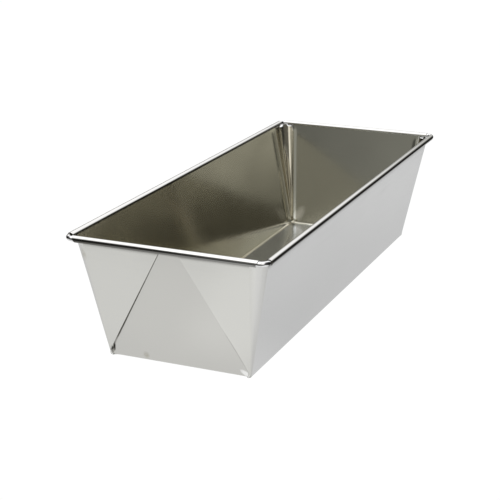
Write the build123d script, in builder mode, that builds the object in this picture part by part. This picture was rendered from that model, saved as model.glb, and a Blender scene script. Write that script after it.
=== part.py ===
from build123d import *
import os

# Folded loaf pan: one sheet-metal blank folded into a tapered box and rolled over a steel wire at
# the rim. All sizes are in millimetres. The origin is the middle of the underside, +X runs along
# the length, +Z points up. The blank is modelled panel by panel, split at its fold lines.

# ---- driving dimensions ----
overall_height = 70.0
sheet = 0.35                    # thickness of the blank, measured level in the walls
floor_length = 261.9            # outside of the end walls, at the underside
floor_width = 81.2              # outside of the side walls, at the underside
end_slope = 0.2267              # outward lean of the end walls per unit of height
side_slope = 0.1919             # outward lean of the side walls per unit of height
corner_radius_low = 0.6         # outside radius of the corner bends where they leave the floor
corner_radius_high = 7.3        # outside radius of the corner bends at their top edge
bead_radius = 1.8               # outside radius of the rolled rim
wire_radius = 1.4
wire_bend_radius = 4.5          # to the middle of the wire
wire_butt_gap = 0.4             # between the ends of the wire, inside the back roll
roll_sweep = 315                # degrees of wire that the rolled rim covers
leaf_gap = 0.05                 # between the two leaves of a folded gusset
fold_web = 0.6                  # solid metal along the diagonal fold of a gusset
gusset_foot = 0.45              # width of a gusset where its diagonal fold begins, and below that
gusset_fold_foot = 4.0          # height at which the diagonal fold begins
rim_clearance = 0.1             # between the rolled rim and the gussets below it
gusset_tip = {"left": 3.4, "right": 8.0}   # from the middle of the end wall to each gusset's tip

# ---- worked-out dimensions ----
bead_height = overall_height - bead_radius
roll_bore = bead_radius - sheet
gusset_top = bead_height - bead_radius - rim_clearance
gusset_thickness = 2 * sheet + leaf_gap

ends = {"front": -1, "back": 1}            # which way along X each end lies
sides = {"left": 1, "right": -1}           # which way along Y each side lies


def end_face(z):
    """Distance from the middle to the outside of an end wall at height z."""
    return floor_length / 2 + end_slope * z


def side_face(z):
    """Distance from the middle to the outside of a side wall at height z."""
    return floor_width / 2 + side_slope * z


def corner_radius(z):
    """Outside radius of a corner bend, which widens steadily from the floor to the rim."""
    rise = (z - sheet) / (gusset_top - sheet)
    return corner_radius_low + (corner_radius_high - corner_radius_low) * rise


def side_wall_end(z):
    """X distance at which a side wall's flat ends and its corner bend begins."""
    return end_face(z) + gusset_thickness - corner_radius(z)


def end_wall_edge(z):
    """Y distance at which an end wall's flat ends and its gusset folds back."""
    return side_face(z) - corner_radius(z)


def rectangle_between(x_from, x_to, y_from, y_to):
    """A rectangle given by its limits, added to the open sketch."""
    with Locations(((x_from + x_to) / 2, (y_from + y_to) / 2)):
        Rectangle(abs(x_to - x_from), abs(y_to - y_from))


def save(piece, name):
    piece.part.label = name
    export_step(piece.part, f"parts/{name}.step")


def floor_panel():
    """Flat bottom, up to the bends that it shares with the four walls."""
    with BuildPart() as panel:
        for z in (0, sheet):
            with BuildSketch(Plane.XY.offset(z)):
                Rectangle(2 * end_face(z), 2 * side_face(z))
        loft(ruled=True)
    return panel


def end_wall(end):
    """Leaning end wall, between the two vertical folds where it turns back into the gussets."""
    with BuildPart() as wall:
        for z in (sheet, bead_height):
            with BuildSketch(Plane.XY.offset(z)):
                outside = end * end_face(z)
                edge = end_wall_edge(z)
                rectangle_between(outside - end * sheet, outside, -edge, edge)
        loft(ruled=True)
    return wall


def side_wall(side):
    """Leaning side wall, between its two corner bends."""
    with BuildPart() as wall:
        for z in (sheet, bead_height):
            with BuildSketch(Plane.XY.offset(z)):
                outside = side * side_face(z)
                reach = side_wall_end(z)
                rectangle_between(-reach, reach, outside - side * sheet, outside)
        loft(ruled=True)
    return wall


def quarter_ring(z, end, side):
    """Level section of a corner bend, added to the open sketch: tangent to side wall and gusset."""
    middle_x = end * side_wall_end(z)
    middle_y = side * end_wall_edge(z)
    outer = corner_radius(z)
    with Locations((middle_x, middle_y)):
        Circle(outer)
        Circle(outer - sheet, mode=Mode.SUBTRACT)
    with Locations((middle_x + end * outer / 2, middle_y + side * outer / 2)):
        Rectangle(outer, outer, mode=Mode.INTERSECT)


def corner_bend(end, side):
    """The side wall's sheet wrapping round the corner, tight at the floor and wide at the rim."""
    with BuildPart() as bend:
        for z in (sheet, gusset_top):
            with BuildSketch(Plane.XY.offset(z)):
                quarter_ring(z, end, side)
        loft(ruled=True)
    return bend


def gusset_layer(z, end, side, fold_y, x_from, x_to):
    """Level section of one layer of a gusset, from its diagonal fold to the corner."""
    rectangle_between(end * x_from, end * x_to, side * fold_y, side * end_wall_edge(z))


def corner_gusset(end, side, tip):
    """The corner's spare triangle of sheet, folded double and laid flat on the end wall."""
    levels = (sheet, gusset_fold_foot)
    folds = [(z, end_wall_edge(z) - gusset_foot) for z in levels]
    slits = [(z, end_wall_edge(z) - gusset_foot / 3) for z in levels]
    with BuildPart() as gusset:
        for z, fold_y in (*folds, (gusset_top, tip)):
            with BuildSketch(Plane.XY.offset(z)):
                inside = end_face(z)
                gusset_layer(z, end, side, fold_y, inside, inside + gusset_thickness)
        loft(ruled=True)
        # the slit between the two leaves stops short of the diagonal fold that joins them
        for z, slit_y in (*slits, (gusset_top, tip + fold_web)):
            with BuildSketch(Plane.XY.offset(z)):
                slit_from = end_face(z) + sheet
                gusset_layer(z, end, side, slit_y, slit_from, slit_from + leaf_gap)
        loft(ruled=True, mode=Mode.SUBTRACT)
    return gusset


def rolled_rim(plane, half_length):
    """Top edge of a wall rolled outward over the wire and cut square at both ends."""
    with BuildPart() as rim:
        with BuildSketch(plane):
            with BuildLine():
                outside = CenterArc((0, 0), bead_radius, 180, -roll_sweep)
                inside = CenterArc((0, 0), roll_bore, 180, -roll_sweep)
                Line(outside @ 0, inside @ 0)
                Line(outside @ 1, inside @ 1)
            make_face()
        extrude(amount=half_length, both=True)
    return rim


def rim_wire(half_x, half_y):
    """Stiffening wire: one ring bent at the four corners, its ends butted inside the back roll."""
    start = (half_x, wire_butt_gap / 2)
    corners = [(half_x, half_y), (-half_x, half_y), (-half_x, -half_y), (half_x, -half_y)]
    finish = (half_x, -wire_butt_gap / 2)
    with BuildPart() as wire:
        with BuildLine(Plane.XY.offset(bead_height)) as route:
            FilletPolyline(start, *corners, finish, radius=wire_bend_radius)
        with BuildSketch(Plane(origin=route.line @ 0, z_dir=route.line % 0)):
            Circle(wire_radius)
        sweep()
    return wire


os.makedirs("parts", exist_ok=True)

save(floor_panel(), "floor_panel")

for end_name, end in ends.items():
    save(end_wall(end), f"end_wall_{end_name}")
    for side_name, side in sides.items():
        corner = f"{end_name}_{side_name}"
        save(corner_bend(end, side), f"corner_bend_{corner}")
        save(corner_gusset(end, side, gusset_tip[side_name]), f"corner_gusset_{corner}")

for side_name, side in sides.items():
    save(side_wall(side), f"side_wall_{side_name}")

wire_half_x = end_face(bead_height) + roll_bore
wire_half_y = side_face(bead_height) + roll_bore

for end_name, end in ends.items():
    profile_plane = Plane(origin=(end * wire_half_x, 0, bead_height), x_dir=(end, 0, 0), z_dir=(0, -end, 0))
    save(rolled_rim(profile_plane, wire_half_y - wire_bend_radius), f"rolled_rim_{end_name}")

for side_name, side in sides.items():
    profile_plane = Plane(origin=(0, side * wire_half_y, bead_height), x_dir=(0, side, 0), z_dir=(side, 0, 0))
    save(rolled_rim(profile_plane, wire_half_x - wire_bend_radius), f"rolled_rim_{side_name}")

save(rim_wire(wire_half_x, wire_half_y), "rim_wire")
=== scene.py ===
import math
import bpy
import numpy as np
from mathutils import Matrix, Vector


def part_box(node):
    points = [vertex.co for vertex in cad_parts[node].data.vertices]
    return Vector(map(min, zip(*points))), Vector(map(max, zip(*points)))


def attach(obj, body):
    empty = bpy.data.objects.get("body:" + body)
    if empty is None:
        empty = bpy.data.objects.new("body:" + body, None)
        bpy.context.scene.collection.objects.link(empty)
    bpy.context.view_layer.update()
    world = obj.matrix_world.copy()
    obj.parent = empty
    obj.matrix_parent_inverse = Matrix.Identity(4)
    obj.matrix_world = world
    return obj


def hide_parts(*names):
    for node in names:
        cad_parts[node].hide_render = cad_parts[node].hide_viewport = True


# A folded loaf pan of bright sheet metal. Lengths are in metres, in the CAD model's frame: +X along
# the pan, +Y across it, +Z up, the origin in the middle of the underside.

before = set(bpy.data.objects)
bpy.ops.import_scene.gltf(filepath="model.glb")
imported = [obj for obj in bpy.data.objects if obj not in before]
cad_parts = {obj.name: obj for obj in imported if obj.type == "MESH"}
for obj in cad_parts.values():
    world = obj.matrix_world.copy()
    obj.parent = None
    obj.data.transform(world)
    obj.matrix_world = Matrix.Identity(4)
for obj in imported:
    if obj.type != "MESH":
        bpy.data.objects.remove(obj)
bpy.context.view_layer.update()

mm = 0.001

# ---- sizes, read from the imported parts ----
floor_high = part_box("floor_panel")[1]
roll_low, roll_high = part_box("rolled_rim_left")
wire_low, wire_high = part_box("rim_wire")
end_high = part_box("end_wall_back")[1]
side_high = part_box("side_wall_left")[1]
bend_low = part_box("corner_bend_back_left")[0]
gusset_low, gusset_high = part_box("corner_gusset_back_left")

sheet = floor_high.z
bead_radius = (roll_high.z - roll_low.z) / 2
bead_height = roll_high.z - bead_radius
wire_radius = (wire_high.z - wire_low.z) / 2
wire_half = (wire_high.x - wire_radius, wire_high.y - wire_radius)
roll_half = (roll_high.x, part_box("rolled_rim_back")[1].y)
end_slope = (end_high.x - floor_high.x) / (bead_height - sheet)
side_slope = (side_high.y - floor_high.y) / (bead_height - sheet)
end_lean = math.atan(end_slope)
side_lean = math.atan(side_slope)
end_foot = end_high.x - end_slope * bead_height
side_foot = side_high.y - side_slope * bead_height
gusset_top = gusset_high.z
gusset_thickness = gusset_high.x - (end_foot + end_slope * gusset_top)
radius_low = end_foot + end_slope * sheet + gusset_thickness - bend_low.x     # of a bend at the floor
radius_high = side_high.y - end_high.y                                        # and at the roll
wire_bend = wire_half[0] - roll_half[0]

# ---- looks that the parts don't fix ----
fold_radius = 1.6 * mm          # outside radius where the floor turns up into a wall
leaf_slack = 0.02 * mm          # between a gusset and the wall it lies on
stub = 1.2 * mm                 # length of inner leaf that belongs to the end wall's fold
fold_nose = 0.75 * mm           # how far the upright fold's rounded edge stands past the wall
floor_rise = 0.16 * mm          # the floor stands up by this away from its edges
floor_buckle = 0.12 * mm        # unevenness of the floor, the sides and the ends
side_buckle = 0.09 * mm
end_buckle = 0.12 * mm
buckle_waves = ((0.21, 0.55), (0.093, 0.28), (0.041, 0.17))     # length and share of each wave
floor_hold = (20 * mm, 14 * mm) # the unevenness fades out this near the edges: along, and across
side_hold = (0.12, 14 * mm)     # the same along, as a share of half the length, and up
end_hold = (16 * mm, 12 * mm)   # the same across, and up
ease_reach = 0.13 * mm          # a wall leans out by this more at the roll
ease_start = 0.4                # share of the roll's height where that begins
ridge_height = 0.42 * mm        # the end's sheet swells into the pan beside each upright fold
ridge_inset = 1.4 * mm          # from the fold to the middle of the swelling
ridge_width = 1.1 * mm          # from its middle to where about a third of it is left
ridge_fade = 4.0 * mm           # the swelling fades out over this height at the floor and the roll
pinch_depth = 0.8 * mm          # bulge at each bottom corner of an end
pinch_width = 5.0 * mm          # how far across the end it reaches
pinch_height = 3.4 * mm         # height at which it is gone
pinch_rise = 1.0 * mm           # height that its growth from nothing would take
pinch_start = 0.3               # share of that growth which is reached at the underside
fold_start = 4.0 * mm           # height at which a gusset's diagonal fold begins
fold_width = 0.6 * mm           # width of a gusset there, and below that
lift_low = 1.0 * mm             # a gusset springs off the wall between these heights
lift_high = 5.0 * mm
lift_power = 2.2                # the spring grows with this power of the way to the diagonal fold
lift_limit = 1.05               # and goes on this far, past the fold's middle
gusset_spring = {               # spring at the top, what the foot adds, and how fast that fades
    "left": (0.45 * mm, 1.4 * mm, 1.5),
    "right": (0.20 * mm, 0.30 * mm, 1.0),
}
tongue_rise = 1.6 * mm          # the sheet stands up behind the bare wire, where the roll is notched
tongue_angle = math.radians(42)         # its middle, round the bend from the side
tongue_spread = math.radians(17)        # from there to where it is back at its usual height
tongue_fade = 4.0 * mm          # the rows of the mesh start to rise this far below the sheet's edge
tongue_flatness = 1.4           # 1 is a rounded top, and more makes it flatter
bend_flatness = 0.3             # 0 is a round bend, and more makes it flatter between two creases
bend_flat_height = gusset_top / 1.5     # it grows flatter up to here
bend_row_gap = 0.5 * mm         # between a bend's top row of points and the next, at least
wire_shade_reach = 2.7 * mm           # painted shade on the wire reaches this far outside a side's roll
roll_sweep = 315                # degrees that the roll turns round the wire
roll_slant = 0.80 * mm          # the roll is longer by this at its top than at the wire
roll_waver = 0.02 * mm          # unevenness of the roll's radius
roll_waver_turn = 61            # radians to a metre
wire_bow = 0.45 * mm            # the bare wire stands out by this at the corners

# ---- numbers of points in the meshes ----
foot_points = 9                 # round the fold at a wall's foot
nose_points = 13                # round an upright fold, and round a gusset's fold
bend_points = 49                # round a corner bend
roll_points = 64                # round a roll
roll_columns = (70, 160)        # along an end's roll, and along a side's
wall_steps = {"end": 56, "side": 44}    # up a wall, above its foot
floor_points = (120, 44)        # along the floor, and across it
side_columns = 150              # along a side
end_columns = 120               # between the two upright folds
gusset_rows = 70
outer_columns = 36              # across a gusset's outer leaf and its inner one
inner_columns = 24
wire_points = 25                # round each corner of the wire

ends = {"front": -1, "back": 1}
sides = {"left": 1, "right": -1}


def smooth(value):
    """0 below 0, 1 above 1 and an S between them."""
    t = np.clip(value, 0.0, 1.0)
    return t * t * (3 - 2 * t)


def end_face(z):
    return end_foot + end_slope * z


def corner_radius(z):
    return radius_low + (radius_high - radius_low) * (z - sheet) / (bead_height - sheet)


# ---- shell meshes ----

def grid_normals(grid):
    along = np.gradient(grid, axis=0)
    across = np.gradient(grid, axis=1)
    normal = np.cross(along, across)
    length = np.linalg.norm(normal, axis=2, keepdims=True)
    return normal / np.maximum(length, 1e-12)


def shell(name, grid, thickness, flip=False):
    """Closed sheet: the grid is one face of it, and the other lies `thickness` behind the grid."""
    grid = np.asarray(grid, float)
    if flip:
        grid = grid[:, ::-1]
    rows, columns = grid.shape[:2]
    back = grid - grid_normals(grid) * thickness
    points = np.concatenate([grid.reshape(-1, 3), back.reshape(-1, 3)])
    shift = rows * columns
    faces = []
    for i in range(rows - 1):
        for j in range(columns - 1):
            a = i * columns + j
            quad = (a, a + columns, a + columns + 1, a + 1)
            faces.append(quad)
            faces.append(tuple(shift + v for v in reversed(quad)))
    rim = list(range(columns))
    rim += [i * columns + columns - 1 for i in range(1, rows)]
    rim += [(rows - 1) * columns + j for j in range(columns - 2, -1, -1)]
    rim += [i * columns for i in range(rows - 2, 0, -1)]
    for a, b in zip(rim, rim[1:] + rim[:1]):
        faces.append((a, b, shift + b, shift + a))
    mesh = bpy.data.meshes.new(name)
    mesh.from_pydata(points.tolist(), [], faces)
    mesh.shade_smooth()
    mesh.set_sharp_from_angle(angle=math.radians(50))
    mesh.update()
    piece = bpy.data.objects.new(name, mesh)
    bpy.context.scene.collection.objects.link(piece)
    return piece


def finish_piece(piece, node, material):
    piece.data.materials.append(material)
    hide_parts(node)
    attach(piece, "root")
    return piece


# ---- shape of the folded sheet ----

class Section:
    """A wall cut across: its outside face from the fold at its foot up to the roll."""

    def __init__(self, foot, slope, top, steps):
        lean = math.atan(slope)
        turn = math.pi / 2 - lean
        setback = fold_radius * math.tan(turn / 2)
        fold = turn * np.linspace(0, 1, foot_points)
        rise = np.linspace(fold_radius * (1 - math.cos(turn)), top, steps + 1)[1:]
        self.flat = foot - setback
        self.up = np.concatenate([fold_radius * (1 - np.cos(fold)), rise])
        self.out = np.concatenate([self.flat + fold_radius * np.sin(fold), foot + slope * rise])
        self.out = self.out + top_ease(self.up)
        self.away = np.concatenate([np.sin(fold), np.full(steps, math.cos(lean))])
        self.down = np.concatenate([np.cos(fold), np.full(steps, math.sin(lean))])

    def out_at(self, z):
        return np.interp(z, self.up, self.out)

    def offset(self, row, depth):
        """Points `depth` outside one row of the face, or inside it where the depth is negative."""
        inside = np.minimum(depth, 0)
        outside = np.maximum(depth, 0)
        return self.out[row] + inside * self.away[row] + outside, self.up[row] - inside * self.down[row]


def top_ease(z):
    """The wall's upper part leans out a hair more, to meet the roll smoothly."""
    return ease_reach * smooth((z / bead_height - ease_start) / (1 - ease_start))


end_top = bead_height - bead_radius * math.sin(end_lean)
side_top = bead_height - bead_radius * math.sin(side_lean)
end_section = Section(end_foot, end_slope, end_top, wall_steps["end"])
side_section = Section(side_foot, side_slope, side_top, wall_steps["side"])


def buckle(u, v, seed):
    """Slight unevenness of pressed sheet, from -1 to 1, over positions in metres.

    The phases and the 0.8 only keep the waves from lining up."""
    total = 0.0
    for k, (length, share) in enumerate(buckle_waves):
        turn = 2 * math.pi / length
        phase = seed * 1.7 + k * 2.3
        total = total + share * np.sin(turn * u + phase) * np.cos(turn * 0.8 * v + 0.6 * phase)
    return total


def edge_hold(value, low, high, width):
    """1 in the middle of a range, falling to 0 at both of its ends."""
    return smooth((value - low) / width) * smooth((high - value) / width)


def fold_edge(z):
    """Distance from the middle of the pan to an end wall's upright fold."""
    return side_section.out_at(z) - corner_radius(z)


def corner_pinch(y, z):
    """How far the four layers folded into a bottom corner push the end's sheet out."""
    near = smooth(1 - (side_foot - radius_low - np.abs(y)) / pinch_width)
    return pinch_depth * near * smooth(1 - z / pinch_height) * smooth(pinch_start + z / pinch_rise)


def floor_piece():
    x = np.linspace(-end_section.flat, end_section.flat, floor_points[0])
    y = np.linspace(-side_section.flat, side_section.flat, floor_points[1])
    grid_x, grid_y = np.meshgrid(x, y, indexing="ij")
    hold = edge_hold(grid_x, x[0], x[-1], floor_hold[0]) * edge_hold(grid_y, y[0], y[-1], floor_hold[1])
    grid_z = (floor_rise + floor_buckle * buckle(grid_x, grid_y, seed=3)) * hold
    return shell("floor_panel_sheet", np.stack([grid_x, grid_y, grid_z], axis=2), sheet, flip=True)


def side_wall_piece(side, name):
    share = np.linspace(-1, 1, side_columns)
    grid_z, grid_share = np.meshgrid(side_section.up, share, indexing="ij")
    grid_x = grid_share * (end_section.out_at(grid_z) + gusset_thickness - corner_radius(grid_z))
    hold = edge_hold(grid_z, 0, bead_height, side_hold[1]) * edge_hold(grid_share, -1, 1, side_hold[0])
    grid_y = side_section.out_at(grid_z) + side_buckle * hold * buckle(grid_x, grid_z, seed=5 + side)
    grid = np.stack([grid_x, side * grid_y, grid_z], axis=2)
    return shell(f"side_wall_{name}_sheet", grid, sheet, flip=side < 0)


def end_wall_piece(end, name):
    """End wall with both of its upright folds, where the sheet turns back on itself."""
    arc = np.linspace(0, math.pi, nose_points)
    rows = []
    for row, height in enumerate(end_section.up):
        edge = fold_edge(height)
        fold_y = np.concatenate([[edge - stub], edge + fold_nose * np.sin(arc)])
        fold_depth = leaf_slack + (sheet + leaf_slack) * np.concatenate([[1], np.cos(arc)])
        flat_y = edge * np.cos(np.linspace(0, math.pi, end_columns + 2))[1:-1]
        y = np.concatenate([fold_y, flat_y, -fold_y[::-1]])
        depth = np.concatenate([fold_depth, np.full(flat_y.shape, -sheet), fold_depth[::-1]])
        x, z = end_section.offset(row, depth)
        hold = edge_hold(height, 0, bead_height, end_hold[1]) * edge_hold(y, -edge, edge, end_hold[0])
        x = x + end_buckle * hold * buckle(y, height, seed=8 + end) + corner_pinch(y, height)
        swell = ridge_height * edge_hold(height, 0, gusset_top, ridge_fade)
        x = x - swell * np.exp(-((edge - ridge_inset - np.abs(y)) / ridge_width) ** 2)
        rows.append(np.stack([end * x, y, z], axis=1))
    return shell(f"end_wall_{name}_sheet", np.array(rows), sheet, flip=end > 0)


def corner_bend_piece(end, side, name):
    """The side wall's sheet going round the corner as a cone, sharp at the floor."""
    below = side_section.up < gusset_top - bend_row_gap
    z = np.append(side_section.up[below], gusset_top)
    phi = np.linspace(0, math.pi / 2, bend_points)
    grid_z, grid_phi = np.meshgrid(z, phi, indexing="ij")
    tongue = smooth(tongue_flatness * (1 - np.abs(grid_phi - tongue_angle) / tongue_spread))
    grid_z = grid_z + tongue_rise * tongue * smooth((grid_z - gusset_top) / tongue_fade + 1)
    radius = corner_radius(grid_z)
    power = 1 + bend_flatness * np.minimum(grid_z / bend_flat_height, 1)
    grid_x = end_section.out_at(grid_z) + gusset_thickness - radius + radius * np.sin(grid_phi) ** power
    grid_y = side_section.out_at(grid_z) - radius + radius * np.cos(grid_phi) ** power
    grid_x = grid_x + corner_pinch(grid_y, grid_z) * np.sin(grid_phi)
    grid = np.stack([end * grid_x, side * grid_y, grid_z], axis=2)
    return shell(f"corner_bend_{name}_sheet", grid, sheet, flip=end * side < 0)


def gusset_lift(side_name, height):
    """How far a gusset's folded edge springs off the end wall at a height."""
    share = height / gusset_top
    held = smooth((height - lift_low) / (lift_high - lift_low))
    at_top, added, power = gusset_spring[side_name]
    return (at_top + added * (1 - share) ** power) * held


def gusset_piece(end, side, end_name, side_name):
    """Gusset folded double: its outer leaf, the diagonal fold, and the inner leaf behind it."""
    tip = min(abs(corner.y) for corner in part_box(f"corner_gusset_{end_name}_{side_name}"))
    foot = fold_edge(fold_start) - fold_width
    half_gap = (gusset_thickness - leaf_slack) / 2
    arc = np.linspace(0, math.pi, nose_points)[1:]
    rows = []
    for height in np.linspace(gusset_low.z, gusset_top, gusset_rows):
        edge = fold_edge(height)
        climb = (height - fold_start) / (gusset_top - fold_start)
        fold = foot + (tip - foot) * climb if climb > 0 else edge - fold_width
        width = edge - fold
        outer_y = edge - width * np.linspace(0, 1, outer_columns)
        turn_y = fold - half_gap * np.sin(arc)
        inner_y = fold + (width - stub) * np.linspace(0, 1, inner_columns)[1:]
        y = np.concatenate([outer_y, turn_y, inner_y])
        turned = np.concatenate([np.ones(outer_y.shape), np.cos(arc), -np.ones(inner_y.shape)])
        depth = leaf_slack + half_gap + half_gap * turned
        reach = np.clip(1 - (y - fold) / width, 0, lift_limit)
        depth = depth + gusset_lift(side_name, height) * reach ** lift_power
        x = end_face(height) + top_ease(height) + depth + corner_pinch(y, height)
        rows.append(np.stack([end * x, side * y, np.full(y.shape, height)], axis=1))
    piece_name = f"corner_gusset_{end_name}_{side_name}_sheet"
    return shell(piece_name, np.array(rows), sheet, flip=end * side < 0)


def roll_piece(axis, sign, name):
    """Rolled top edge: the wall's sheet carried over the wire and tucked under it.

    Axis 0 is an end's roll, which runs along Y, and axis 1 is a side's, which runs along X."""
    lean = end_lean if axis == 0 else side_lean
    half = roll_half[1 - axis]
    angle = np.radians(np.linspace(180 + math.degrees(lean), 180 - roll_sweep, roll_points))
    along = np.linspace(-1, 1, roll_columns[axis])
    grid_angle, grid_along = np.meshgrid(angle, along, indexing="ij")
    run = grid_along * (half + roll_slant * np.sin(grid_angle))
    radius = bead_radius + roll_waver * np.sin(run * roll_waver_turn + grid_angle)
    out = wire_half[axis] + radius * np.cos(grid_angle)
    up = bead_height + radius * np.sin(grid_angle)
    if axis == 0:
        grid = np.stack([sign * out, run, up], axis=2)
        flip = sign < 0
    else:
        grid = np.stack([run, sign * out, up], axis=2)
        flip = sign > 0
    return shell(f"rolled_rim_{name}_sheet", grid, sheet, flip=flip)


def wire_route():
    """Middle line of the wire: straight inside the rolls, bowed out a little at the corners."""
    centre_x = wire_half[0] - wire_bend
    centre_y = wire_half[1] - wire_bend
    points = []
    for step in range(4 * wire_points):
        corner, part = divmod(step, wire_points)
        swing = math.pi / 2 * part / (wire_points - 1)
        reach = wire_bend + wire_bow * math.sin(2 * swing)
        angle = corner * math.pi / 2 + swing
        middle_x = centre_x if corner in (0, 3) else -centre_x
        middle_y = centre_y if corner in (0, 1) else -centre_y
        points.append((middle_x + reach * math.cos(angle), middle_y + reach * math.sin(angle)))
    return points


def wire_piece():
    curve = bpy.data.curves.new("rim_wire_route", "CURVE")
    curve.dimensions = "3D"
    spline = curve.splines.new("POLY")
    route = wire_route()
    spline.points.add(len(route) - 1)
    for point, (x, y) in zip(spline.points, route):
        point.co = (x, y, bead_height, 1)
    spline.use_cyclic_u = True
    curve.bevel_depth = wire_radius
    curve.bevel_resolution = 8
    holder = bpy.data.objects.new("rim_wire_holder", curve)
    bpy.context.scene.collection.objects.link(holder)
    bpy.context.view_layer.update()
    mesh = bpy.data.meshes.new_from_object(holder)
    bpy.data.objects.remove(holder)
    mesh.shade_smooth()
    piece = bpy.data.objects.new("rim_wire_drawn", mesh)
    bpy.context.scene.collection.objects.link(piece)
    return piece


# ---- node graphs ----

class Graph:
    """A node tree with short calls to add nodes and join them."""

    def __init__(self, tree):
        self.tree = tree

    def add(self, kind, **settings):
        node = self.tree.nodes.new(kind)
        for key, value in settings.items():
            setattr(node, key, value)
        return node

    def join(self, source, target):
        self.tree.links.new(source, target)

    def math(self, operation, *values):
        node = self.add("ShaderNodeMath", operation=operation)
        for socket, value in zip(node.inputs, values):
            if isinstance(value, (int, float)):
                socket.default_value = value
            else:
                self.join(value, socket)
        return node.outputs[0]

    def size_of(self, value):
        return self.math("ABSOLUTE", value)

    def product(self, *factors):
        result = factors[0]
        for factor in factors[1:]:
            result = self.math("MULTIPLY", result, factor)
        return result

    def spread(self, source, low, high, from_low=0.3, from_high=0.7, **settings):
        """A value moved from one range to another, and held at the ends."""
        node = self.add("ShaderNodeMapRange", **settings)
        node.inputs["From Min"].default_value = from_low
        node.inputs["From Max"].default_value = from_high
        node.inputs["To Min"].default_value = low
        node.inputs["To Max"].default_value = high
        self.join(source, node.inputs["Value"])
        return node.outputs["Result"]

    def ramp(self, source, start, stop, low=0.0, high=1.0):
        """The same with an S-shaped change from `low` at `start` to `high` at `stop`."""
        return self.spread(source, low, high, start, stop, interpolation_type="SMOOTHSTEP")

    def axis(self, vector, letter):
        """One axis of the Object position, the Normal or the Generated direction."""
        split = self.add("ShaderNodeSeparateXYZ")
        self.join(self.add("ShaderNodeTexCoord").outputs[vector], split.inputs[0])
        return split.outputs[letter]

    def blend_colour(self, factor, first, second):
        node = self.add("ShaderNodeMix", data_type="RGBA")
        for socket, value in ((6, first), (7, second)):
            if isinstance(value, tuple):
                node.inputs[socket].default_value = (*value, 1.0)
            else:
                self.join(value, node.inputs[socket])
        self.join(factor, node.inputs[0])
        return node.outputs[2]

    def noise(self, scale, stretch=(1, 1, 1), detail=2.0):
        """Noise over the Object position, stretched by a scale along each axis."""
        mapping = self.add("ShaderNodeMapping")
        mapping.inputs["Scale"].default_value = stretch
        self.join(self.add("ShaderNodeTexCoord").outputs["Object"], mapping.inputs["Vector"])
        node = self.add("ShaderNodeTexNoise")
        node.inputs["Scale"].default_value = scale
        node.inputs["Detail"].default_value = detail
        self.join(mapping.outputs["Vector"], node.inputs["Vector"])
        return node.outputs["Fac"]

    def facing_out(self):
        """1 where a face looks away from the middle of the pan, else 0. Length counts for less than
        width."""
        geometry = self.add("ShaderNodeTexCoord")
        level = self.add("ShaderNodeMapping")
        level.inputs["Scale"].default_value = (0.12, 1, 0)
        self.join(geometry.outputs["Object"], level.inputs["Vector"])
        outward = self.add("ShaderNodeVectorMath", operation="DOT_PRODUCT")
        self.join(level.outputs["Vector"], outward.inputs[0])
        self.join(geometry.outputs["Normal"], outward.inputs[1])
        return self.spread(outward.outputs["Value"], 0, 1, -0.003, 0.003)

    def spot(self, across, height, length, width, slant=0):
        """1 at the middle of an oval on an end of the pan, 0 outside it.

        `across` and `height` are its middle, `length` and `width` are from there to its edge, and
        `slant` is how many degrees its length is turned from level."""
        sideways = self.math("SUBTRACT", self.axis("Object", "Y"), across)
        upward = self.math("SUBTRACT", self.axis("Object", "Z"), height)
        along = math.cos(math.radians(slant))
        level = math.sin(math.radians(slant))
        total = []
        for first, second, reach in ((along, level, length), (-level, along, width)):
            place = self.math("ADD", self.product(sideways, first), self.product(upward, second))
            total.append(self.math("POWER", self.math("DIVIDE", place, reach), 2.0))
        return self.spread(self.math("ADD", *total), 1, 0, 0, 1)

    def lobe(self, azimuth, elevation, inner, outer):
        """1 within `inner` degrees of a heading, falling to 0 at `outer` degrees."""
        node = self.add("ShaderNodeVectorMath", operation="DOT_PRODUCT")
        self.join(self.add("ShaderNodeTexCoord").outputs["Generated"], node.inputs[0])
        node.inputs[1].default_value = heading(azimuth, elevation)
        start = math.cos(math.radians(outer))
        stop = math.cos(math.radians(inner))
        return self.ramp(node.outputs["Value"], start, stop)

    def tinted(self, strength, colour):
        node = self.add("ShaderNodeVectorMath", operation="SCALE")
        node.inputs[0].default_value = colour
        self.join(strength, node.inputs["Scale"])
        return node.outputs[0]

    def combine(self, operation, first, second):
        """Two colours added or multiplied, without a limit at 1."""
        node = self.add("ShaderNodeVectorMath", operation=operation)
        self.join(first, node.inputs[0])
        self.join(second, node.inputs[1])
        return node.outputs[0]


def heading(azimuth, elevation):
    """Unit vector for an azimuth from +X towards +Y and an elevation, in degrees."""
    turn = math.radians(azimuth)
    rise = math.radians(elevation)
    return Vector((math.cos(turn) * math.cos(rise), math.sin(turn) * math.cos(rise), math.sin(rise)))


# ---- tints, gloss and scales of the metal ----
plain = (0.61, 0.612, 0.610)
end_plain = (0.63, 0.625, 0.595)
leaf_plain = (0.69, 0.688, 0.655)
bend_plain = (0.612, 0.610, 0.595)
floor_plain = (0.360, 0.374, 0.370)
rim_plain = (0.71, 0.708, 0.69)
wire_plain = (0.75, 0.75, 0.75)
side_straw = (0.56, 0.534, 0.450)       # the straw tint that baking leaves inside
end_straw = (0.56, 0.56, 0.505)
bend_straw = (0.88, 0.83, 0.70)
# painted shade: near-black for a gusset's faces towards the end wall, darkening the gap between them
crevice_shade = (0.10, 0.095, 0.080)
# near-white for painted highlights on facets, on folds and at a dent
painted_highlight = (0.98, 0.98, 0.965)
dull = (0.3, 0.3, 0.3)
stain = (0.34, 0.315, 0.235)
# dark tint: painted shade under the rolls, in the gussets' pockets and on the wire's underside; also a dark
# tip at each bend's foot and faint clouding on the floor
painted_shade_and_tarnish = (0.06, 0.057, 0.046)

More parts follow.
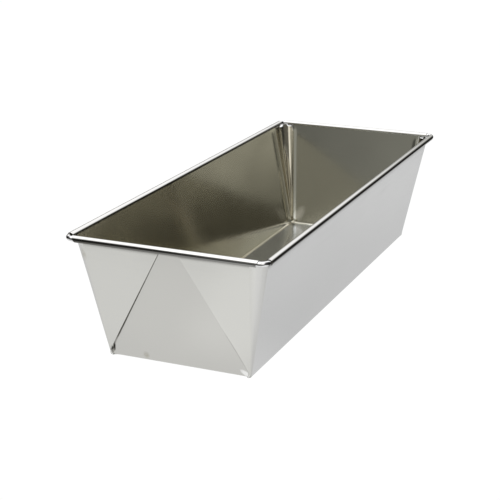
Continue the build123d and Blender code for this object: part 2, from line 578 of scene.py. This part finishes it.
satin = (0.14, 0.22)                    # least and most roughness
calm = (0.16, 0.20)
soft = (0.10, 0.15)
polished = (0.04, 0.08)
drawn = (0.03, 0.06)

along_x = (0.03, 1, 1)                  # stretch of the grain
along_y = (1, 0.03, 1)
no_grain = (1, 1, 1)

cloud_scale = 18                        # scales of noise: more is finer
patch_scale = 35
# unevenness of the painted shade under and on the rolls
shade_noise_scale = 60
bloom_scale = 90
stain_scale = 500
grain_scale = 900


# ---- marks on the metal: each says how strong it is at a place, from 0 to 1 ----

def foot_highlights(nodes, facing):
    """Painted highlights: a facet outside an end's right bottom corner, a fleck at the left one, and a
    bright fan inside the left one."""
    facet = nodes.spot(across=-37.4 * mm, height=2.3 * mm, length=3.6 * mm, width=1.6 * mm, slant=30)
    fleck = nodes.spot(across=39.9 * mm, height=0.8 * mm, length=0.8 * mm, width=0.8 * mm)
    fan = nodes.spot(across=35.6 * mm, height=6.0 * mm, length=8.5 * mm, width=4.0 * mm, slant=120)
    inside = nodes.product(fan, nodes.math("SUBTRACT", 1.0, facing), 0.8)
    outside = nodes.product(nodes.math("ADD", facet, fleck), facing)
    return nodes.spread(nodes.math("ADD", inside, outside), 0, 0.95, 0.0, 0.85)


def fold_highlight(nodes, facing):
    """Painted highlight inside the pan along the upright folds beside the corners."""
    narrowing = side_slope - (radius_high - radius_low) / (bead_height - sheet)
    edge = nodes.math("MULTIPLY_ADD", nodes.axis("Object", "Z"), narrowing, side_foot - radius_low)
    past = nodes.math("SUBTRACT", nodes.size_of(nodes.axis("Object", "Y")), edge)
    near = nodes.spread(past, 0, 1, -0.3 * mm, 0.2 * mm)
    return nodes.product(near, nodes.math("SUBTRACT", 1.0, facing))


def stains(nodes, facing):
    """A brown spot low on an end, and a smudge up beside its left corner."""
    low_spot = nodes.spot(across=19.3 * mm, height=3.2 * mm, length=2.2 * mm, width=2.4 * mm)
    smudge = nodes.spot(across=47.5 * mm, height=59.5 * mm, length=2.4 * mm, width=4.0 * mm)
    uneven = nodes.spread(nodes.noise(stain_scale, detail=3), 0.25, 1.0)
    return nodes.product(nodes.math("ADD", low_spot, smudge), uneven, 0.55, facing)


def pocket_shade(nodes, facing):
    """Painted shade in the pocket under the left gusset's fold, and along the foot of the right one's."""
    pocket = nodes.spot(across=38.5 * mm, height=5.1 * mm, length=2.2 * mm, width=0.7 * mm, slant=118)
    line = nodes.spot(across=-34.0 * mm, height=15.0 * mm, length=14.0 * mm, width=0.45 * mm, slant=63)
    strong = nodes.spread(pocket, 0, 0.8, 0.0, 0.5)
    faint = nodes.product(nodes.spread(line, 0, 1, 0.0, 0.5), 0.3)
    return nodes.product(nodes.math("ADD", strong, faint), facing)


def bend_tip(nodes, facing):
    """Dark tip at the very bottom of a corner bend."""
    return nodes.spread(nodes.axis("Object", "Z"), 0.6, 0.02, 0.3 * mm, 2.0 * mm)


def shade_under_roll(low, high, letter, half):
    """Painted shade on a wall's outside, from a height up to where the roll covers it."""
    def shade(nodes, facing):
        near = nodes.spread(nodes.axis("Object", "Z"), 0, 1, low, high)
        along = nodes.size_of(nodes.axis("Object", letter))
        covered = nodes.spread(along, 1, 0, half - 3 * mm, half + 1 * mm)
        uneven = nodes.spread(nodes.noise(shade_noise_scale), 0.6, 0.95)
        return nodes.product(near, near, facing, covered, uneven)
    return shade


def side_underside(nodes, facing):
    """Painted shade on the lower half of a side's roll."""
    down = nodes.spread(nodes.axis("Normal", "Z"), 1, 0, 0.2, 0.58)
    return nodes.product(down, nodes.spread(nodes.noise(shade_noise_scale), 0.95, 1.0))


def end_underside(nodes, facing):
    """Painted shade on the lower half of an end's roll, outside only, and thinner to the right."""
    across = nodes.axis("Object", "Y")
    thinning = nodes.spread(across, 0.40, -0.24, -45 * mm, 15 * mm)
    down = nodes.spread(nodes.math("ADD", nodes.axis("Normal", "Z"), thinning), 1, 0, 0.12, 0.5)
    return nodes.product(down, nodes.spread(across, 0.66, 0.93, -45 * mm, 45 * mm), facing)


def floor_bloom(nodes, facing):
    """Very faint cloudiness of the floor."""
    return nodes.spread(nodes.noise(bloom_scale), 0.0, 0.03)


def wire_underside_shade(nodes, facing):
    """Painted shade on the lower half of the wire just outside the ends of the long sides' rolls."""
    along = nodes.size_of(nodes.axis("Object", "X"))
    across = nodes.size_of(nodes.axis("Object", "Y"))
    reach = roll_half[0] + wire_shade_reach
    near = nodes.spread(along, 1, 0, reach, reach + 0.8 * mm)
    beside = nodes.spread(across, 0, 1, roll_half[1], roll_half[1] + 1 * mm)
    uneven = nodes.spread(nodes.noise(grain_scale), 0.55, 1.0)
    low_side = nodes.spread(nodes.axis("Normal", "Z"), 1, 0, 0.25, 0.6)
    return nodes.product(near, beside, uneven, low_side)


# ---- materials ----

def bend_outside(nodes):
    """A bend is as pale as a gusset where it faces along the pan, and darker where it turns to the side:
    light and shade painted by the way it faces.
    """
    turned = nodes.spread(nodes.size_of(nodes.axis("Normal", "X")), 0, 1, 0.96, 0.72)
    return nodes.blend_colour(turned, leaf_plain, bend_plain)


def sheet_metal(name, grain, outside, inside, gloss_outside, gloss_inside, marks):
    """Bright rolled metal: fine grain one way, soft tint changes and uneven gloss.

    The face away from the middle of the pan takes the outside tint and roughness, and the other face
    the inside ones. A tint is a colour or a function that makes one. The marks are laid on in order,
    each one a function for its strength and a colour."""
    material = bpy.data.materials.new(name)
    material.use_nodes = True
    nodes = Graph(material.node_tree)
    shader = material.node_tree.nodes["Principled BSDF"]
    shader.inputs["Metallic"].default_value = 1.0
    facing = nodes.facing_out()
    if callable(outside):
        outside = outside(nodes)
    tint = nodes.blend_colour(facing, inside, outside)
    cloud = nodes.spread(nodes.noise(cloud_scale), 0.05, 0)
    colour = nodes.blend_colour(cloud, tint, dull)
    for strength, mark_colour in marks:
        colour = nodes.blend_colour(strength(nodes, facing), colour, mark_colour)
    nodes.join(colour, shader.inputs["Base Color"])
    streak = nodes.noise(grain_scale, stretch=grain)
    patch = nodes.noise(patch_scale, detail=3)
    uneven = nodes.math("MULTIPLY_ADD", patch, 0.6, nodes.spread(streak, 0.0, 0.4))
    gloss = nodes.add("ShaderNodeMix", data_type="FLOAT")
    nodes.join(facing, gloss.inputs[0])
    nodes.join(nodes.spread(uneven, *gloss_inside, 0.2, 0.8), gloss.inputs[2])
    nodes.join(nodes.spread(uneven, *gloss_outside, 0.2, 0.8), gloss.inputs[3])
    nodes.join(gloss.outputs[0], shader.inputs["Roughness"])
    bump = nodes.add("ShaderNodeBump")
    bump.inputs["Strength"].default_value = 0.05
    bump.inputs["Distance"].default_value = 0.02 * mm
    nodes.join(streak, bump.inputs["Height"])
    nodes.join(bump.outputs["Normal"], shader.inputs["Normal"])
    return material


# painted shade below the rolls of the sides and of the ends
side_shade = shade_under_roll(low=61.5 * mm, high=65.0 * mm, letter="X", half=roll_half[0])
end_shade = shade_under_roll(low=64.2 * mm, high=66.4 * mm, letter="Y", half=roll_half[1])
corner_marks = ((foot_highlights, painted_highlight), (stains, stain), (pocket_shade, painted_shade_and_tarnish))
end_marks = ((fold_highlight, painted_highlight), *corner_marks, (end_shade, painted_shade_and_tarnish))
bend_marks = (*corner_marks, (bend_tip, painted_shade_and_tarnish))

panel_metal = sheet_metal(
    "pan_sheet_lengthways", along_x, plain, side_straw, satin, soft, ((side_shade, painted_shade_and_tarnish),))
floor_metal = sheet_metal(
    "pan_sheet_floor", along_x, floor_plain, floor_plain, calm, calm, ((floor_bloom, painted_shade_and_tarnish),))
end_metal = sheet_metal("pan_sheet_crossways", along_y, end_plain, end_straw, satin, soft, end_marks)
# the gusset's faces towards the end wall take the painted shade of the gap
gusset_metal = sheet_metal("pan_sheet_gusset", along_y, leaf_plain, crevice_shade, satin, soft, end_marks)
bend_metal = sheet_metal("pan_sheet_corner", along_x, bend_outside, bend_straw, satin, soft, bend_marks)
side_roll = sheet_metal(
    "rolled_rim_sides", along_x, rim_plain, rim_plain, polished, polished, ((side_underside, painted_shade_and_tarnish),))
end_roll = sheet_metal(
    "rolled_rim_ends", along_y, rim_plain, rim_plain, polished, polished, ((end_underside, painted_shade_and_tarnish),))
wire_metal = sheet_metal(
    "rim_wire_steel", no_grain, wire_plain, wire_plain, drawn, drawn, ((wire_underside_shade, painted_shade_and_tarnish),))

# ---- the pan ----
finish_piece(floor_piece(), "floor_panel", floor_metal)
for side_name, side in sides.items():
    finish_piece(side_wall_piece(side, side_name), f"side_wall_{side_name}", panel_metal)
    finish_piece(roll_piece(1, side, side_name), f"rolled_rim_{side_name}", side_roll)
for end_name, end in ends.items():
    finish_piece(end_wall_piece(end, end_name), f"end_wall_{end_name}", end_metal)
    finish_piece(roll_piece(0, end, end_name), f"rolled_rim_{end_name}", end_roll)
    for side_name, side in sides.items():
        corner = f"{end_name}_{side_name}"
        bend = corner_bend_piece(end, side, corner)
        finish_piece(bend, f"corner_bend_{corner}", bend_metal)
        gusset = gusset_piece(end, side, end_name, side_name)
        finish_piece(gusset, f"corner_gusset_{corner}", gusset_metal)
finish_piece(wire_piece(), "rim_wire", wire_metal)

# ---- floor, light and camera ----
table_radius = 9.0
table_drop = 0.05 * mm                  # the floor is this far below the pan
table_low = (-0.228, -0.112)            # corners of the lit sheet that the metal mirrors
table_high = (0.40, 0.24)
table_fade = 0.008                      # softness of its edges
table_far_fade = 0.1                    # and of the edge past the far end
table_white = 1.02                      # brightness of the floor in view

# Brightness by elevation in degrees: past the far end of the pan, and past the near one.
sky_ahead = ((0, 0.02), (10, 0.06), (18, 0.5), (23, 1.15), (30, 1.35))
sky_behind = ((0, 0.05), (8, 0.10), (29.5, 0.13), (31.5, 0.45), (35, 1.1))

# Azimuth, elevation, and the degrees from there at which it starts and stops fading.
dark_sides = ((-70, 35, 24, 40), (95, 22, 20, 32))
dark_side_level = 0.05

# The same, and the light that each adds. The flag takes light away.
flag = (-161, 50, 5, 11, (-0.75, -0.75, -0.735))
near_wall = (-172, 13, 6, 35, (0.30, 0.295, 0.27))
window = (-149, 31.5, 12, 14, (0.7, 0.69, 0.66))
card = (-138, 7, 8, 12, (0.9, 0.89, 0.86))
far_wall = (30, 8, 8, 24, (0.35, 0.35, 0.34))


def white_in_view(nodes, shader, white, output):
    """The camera sees plain white, and everything else sees the given shader."""
    paths = nodes.add("ShaderNodeLightPath")
    mixed = nodes.add("ShaderNodeMixShader")
    nodes.join(paths.outputs["Is Camera Ray"], mixed.inputs[0])
    nodes.join(shader, mixed.inputs[1])
    nodes.join(white, mixed.inputs[2])
    nodes.join(mixed.outputs[0], output.inputs["Surface"])


def table_light(nodes):
    """Brightness of the floor over its own X and Y, as the metal sees it."""
    x = nodes.axis("Object", "X")
    y = nodes.axis("Object", "Y")
    cut_corner = nodes.math("MULTIPLY", nodes.math("MINIMUM", x, 0.0), -0.5)
    lit = 1.0
    for value, start, stop, low, high in (
        (x, table_low[0] - table_fade, table_low[0] + table_fade, 0, 1),
        (x, table_high[0] + table_far_fade, table_high[0] - table_far_fade, 0, 1),
        (nodes.math("ADD", y, cut_corner), table_low[1] - table_fade, table_low[1] + table_fade, 0, 1),
        (y, table_high[1] + table_fade, table_high[1] - table_fade, 0, 1),
        (x, -0.14, -0.06, 0.86, 0.76),
        (x, 0.06, 0.2, 1.0, 1.03),
        (y, -0.046, -0.09, 0.94, 1.05),
    ):
        lit = nodes.math("MULTIPLY", lit, nodes.ramp(value, start, stop, low, high))
    front = nodes.ramp(x, -0.13, -0.16)
    beside = nodes.product(front, nodes.ramp(y, 0.020, -0.010, 0.03, 0.12))
    lit = nodes.product(lit, nodes.math("ADD", beside, 1.0))
    dim = nodes.ramp(x, -0.25, -0.21, 0.11, 0.03)
    return nodes.math("ADD", lit, dim)


def studio_floor():
    """Light table: plain white in view, and a bright sheet round the pan that the metal mirrors."""
    place = (0, 0, -table_drop)
    bpy.ops.mesh.primitive_circle_add(vertices=96, radius=table_radius, fill_type="NGON", location=place)
    table = bpy.context.object
    table.name = "studio_floor"
    material = bpy.data.materials.new("studio_floor_white")
    material.use_nodes = True
    material.node_tree.nodes.clear()
    nodes = Graph(material.node_tree)
    glow = nodes.add("ShaderNodeEmission")
    nodes.join(nodes.tinted(table_light(nodes), (1.0, 1.0, 1.0)), glow.inputs["Color"])
    white = nodes.add("ShaderNodeEmission")
    white.inputs["Strength"].default_value = table_white
    output = nodes.add("ShaderNodeOutputMaterial")
    white_in_view(nodes, glow.outputs[0], white.outputs[0], output)
    table.data.materials.append(material)


def sky_gradient(nodes, height, stops):
    """Brightness by elevation in degrees, a little warmer where it is dim."""
    ramp = nodes.add("ShaderNodeValToRGB")
    nodes.join(height, ramp.inputs["Fac"])
    elements = ramp.color_ramp.elements
    elements.remove(elements[1])
    for k, (elevation, level) in enumerate(stops):
        place = math.sin(math.radians(elevation))
        element = elements[0] if k == 0 else elements.new(place)
        element.position = place
        blue = level * (0.88 + 0.12 * min(level, 1.0))
        element.color = (level, level * 0.99, blue, 1)
    return ramp.outputs["Color"]


def studio_room():
    """A sky that is dark near the floor, two dark sides, and five patches that the metal mirrors."""
    world = bpy.data.worlds.new("studio")
    world.use_nodes = True
    world.node_tree.nodes.clear()
    nodes = Graph(world.node_tree)
    height = nodes.axis("Generated", "Z")
    ahead = sky_gradient(nodes, height, sky_ahead)
    behind = sky_gradient(nodes, height, sky_behind)
    light = nodes.blend_colour(nodes.ramp(nodes.axis("Generated", "X"), -0.3, 0.3), behind, ahead)
    for azimuth, elevation, inner, outer in dark_sides:
        side_lobe = nodes.lobe(azimuth, elevation, inner, outer)
        left_over = nodes.ramp(side_lobe, 0, 1, 1, dark_side_level)
        light = nodes.combine("MULTIPLY", light, nodes.tinted(left_over, (1, 1, 1)))
    for azimuth, elevation, inner, outer, colour in (flag, near_wall, window, card, far_wall):
        patch = nodes.tinted(nodes.lobe(azimuth, elevation, inner, outer), colour)
        light = nodes.combine("ADD", light, patch)
    around = nodes.add("ShaderNodeBackground")
    nodes.join(light, around.inputs["Color"])
    white = nodes.add("ShaderNodeBackground")
    white.inputs["Color"].default_value = (1, 1, 1, 1)
    output = nodes.add("ShaderNodeOutputWorld")
    white_in_view(nodes, around.outputs[0], white.outputs[0], output)
    bpy.context.scene.world = world


def softbox(name, place, target, size, brightness):
    """A flat even light, seen in reflections with the brightness given."""
    data = bpy.data.lights.new(name, "AREA")
    data.shape = "RECTANGLE"
    data.size, data.size_y = size
    data.energy = brightness * math.pi * size[0] * size[1]
    lamp = bpy.data.objects.new(name, data)
    lamp.location = place
    lamp.visible_camera = False
    lamp.rotation_euler = (Vector(target) - Vector(place)).to_track_quat("-Z", "Y").to_euler()
    bpy.context.scene.collection.objects.link(lamp)


def aim_camera(azimuth, elevation, distance, target, lens):
    """Camera at a heading from the point it looks at."""
    back = heading(azimuth, elevation)
    data = bpy.data.cameras.new("camera")
    data.lens = lens
    data.sensor_width = 36.0
    camera = bpy.data.objects.new("camera", data)
    camera.location = Vector(target) + back * distance
    camera.rotation_euler = back.to_track_quat("Z", "Y").to_euler()
    bpy.context.scene.collection.objects.link(camera)
    bpy.context.scene.camera = camera


studio_floor()
studio_room()
softbox("softbox_top", place=(-0.35, 0.3, 1.0), target=(0, 0, 0), size=(1.4, 1.4), brightness=0.5)
look_at = (-15.34 * mm, 9.77 * mm, 27.57 * mm)
aim_camera(azimuth=-156.828, elevation=18.149, distance=0.770, target=look_at, lens=92.80)
bpy.context.scene.view_settings.view_transform = "Standard"
